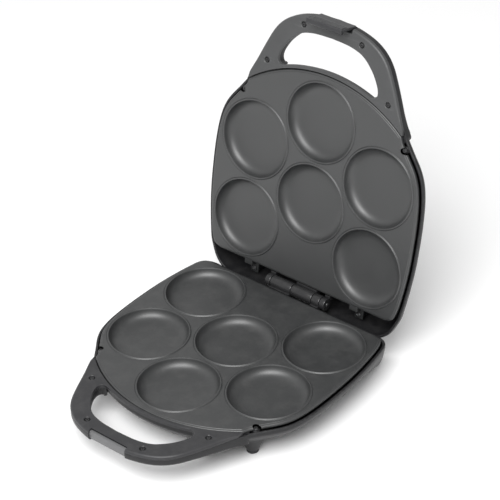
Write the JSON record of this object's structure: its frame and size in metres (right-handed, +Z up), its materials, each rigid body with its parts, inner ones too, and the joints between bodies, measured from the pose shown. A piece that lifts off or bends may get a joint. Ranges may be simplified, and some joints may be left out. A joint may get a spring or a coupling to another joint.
{
  "type": "mini pancake maker",
  "caption": "Clamshell mini pancake maker, shown open: round-well non-stick plates in dark plastic shells with D-shaped handles, a rear hinge and a sprung latch.",
  "frame": {"origin": "on the table plane, under the middle of the object's box with the lid fully open", "axes": "+X along the hinge, -Y from the hinge towards the base's handle, +Z up"},
  "size_m": [0.2332, 0.33, 0.2967],
  "materials": {
    "dark_plastic": "fine moulded satin",
    "plate_coating": "dark non-stick coating, satin",
    "steel": "plain",
    "sheet_metal": "bright rolled",
    "rubber": "matt",
    "grey_plastic": "satin",
    "thermostat_body": "moulded",
    "ceramic": "unglazed ceramic",
    "red_lens": "clear red",
    "green_lens": "clear green"
  },
  "bodies": {
    "base": {"base_handle_cover": "dark_plastic", "base_handle_screw_left_high": "steel", "base_handle_screw_left_low": "steel", "base_handle_screw_right_high": "steel", "base_handle_screw_right_low": "steel", "base_shell": "dark_plastic", "catch_bar": "grey_plastic", "cord_gland": "rubber", "foot_pad_front_left": "rubber", "foot_pad_front_right": "rubber", "foot_pad_rear_left": "rubber", "foot_pad_rear_right": "rubber", "hinge_pin": "steel", "lower_heating_element": "steel", "lower_plate": "plate_coating", "lower_plate_front_screw_left": "steel", "lower_plate_front_screw_right": "steel", "lower_reflector": "sheet_metal", "lower_thermostat": "thermostat_body", "terminal_block": "ceramic", "thermal_fuse": "sheet_metal"},
    "lid": {"latch_pin": "steel", "latch_spring": "steel", "lid_handle_cover": "dark_plastic", "lid_handle_screw_left_high": "steel", "lid_handle_screw_left_low": "steel", "lid_handle_screw_right_high": "steel", "lid_handle_screw_right_low": "steel", "lid_shell": "dark_plastic", "power_lamp_lens": "red_lens", "ready_lamp_lens": "green_lens", "upper_heating_element": "steel", "upper_plate": "plate_coating", "upper_plate_front_screw_left": "steel", "upper_plate_front_screw_right": "steel", "upper_plate_rear_screw_left": "steel", "upper_plate_rear_screw_right": "steel", "upper_reflector": "sheet_metal", "upper_thermostat": "thermostat_body"},
    "latch": {"latch": "dark_plastic"}
  },
  "joints": [
    {"name": "lid_hinge", "type": "hinge", "parent": "base", "child": "lid", "pos_m": [0, 0.0941, 0.0395], "axis": [1, 0, 0], "range_deg": [0, 103.1]},
    {"name": "latch_pivot", "type": "hinge", "parent": "lid", "child": "latch", "pos_m": [0, 0.15838, 0.28471], "axis": [-1, 0, 0], "range_deg": [0, 12], "stiffness_Nm_per_rad": 0.05}
  ]
}
